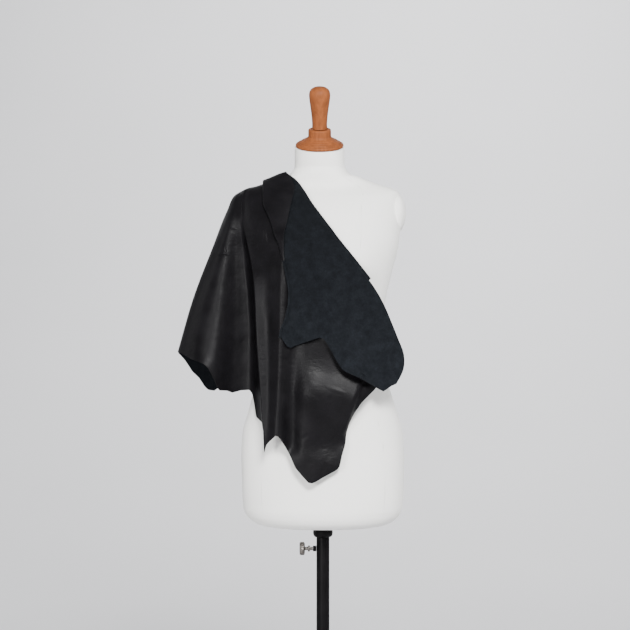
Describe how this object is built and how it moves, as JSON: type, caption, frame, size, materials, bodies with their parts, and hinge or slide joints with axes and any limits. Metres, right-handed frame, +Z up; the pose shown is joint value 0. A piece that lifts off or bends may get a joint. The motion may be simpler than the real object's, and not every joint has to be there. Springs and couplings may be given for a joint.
{
  "type": "leather hide on a dress form stand",
  "caption": "Black leather hide with navy suede underside, thrown over the left shoulder of a cream dress form on a black pole stand.",
  "frame": {"origin": "on the floor, at the centre of the base disc and on the pole's axis", "axes": "+Z up, -Y towards the viewer who faces the front of the form, +X to that viewer's right"},
  "size_m": [0.4882, 0.33, 1.6412],
  "materials": {
    "leather": "black full grain, semi gloss, with a navy suede underside",
    "form_cloth": "cream knitted cover, matt",
    "turned_wood": "turned and satin varnished",
    "black_metal": "black satin enamel",
    "steel": "bright"
  },
  "bodies": {
    "root": {"hide": "leather", "torso": "form_cloth", "arm_plate_left": "form_cloth", "arm_plate_right": "form_cloth", "neck_cap": "turned_wood", "neck_knob": "turned_wood", "pole_socket": "black_metal", "pole": "black_metal", "screw_boss": "black_metal", "thumb_screw": "steel", "base_disc": "black_metal"}
  },
  "joints": []
}
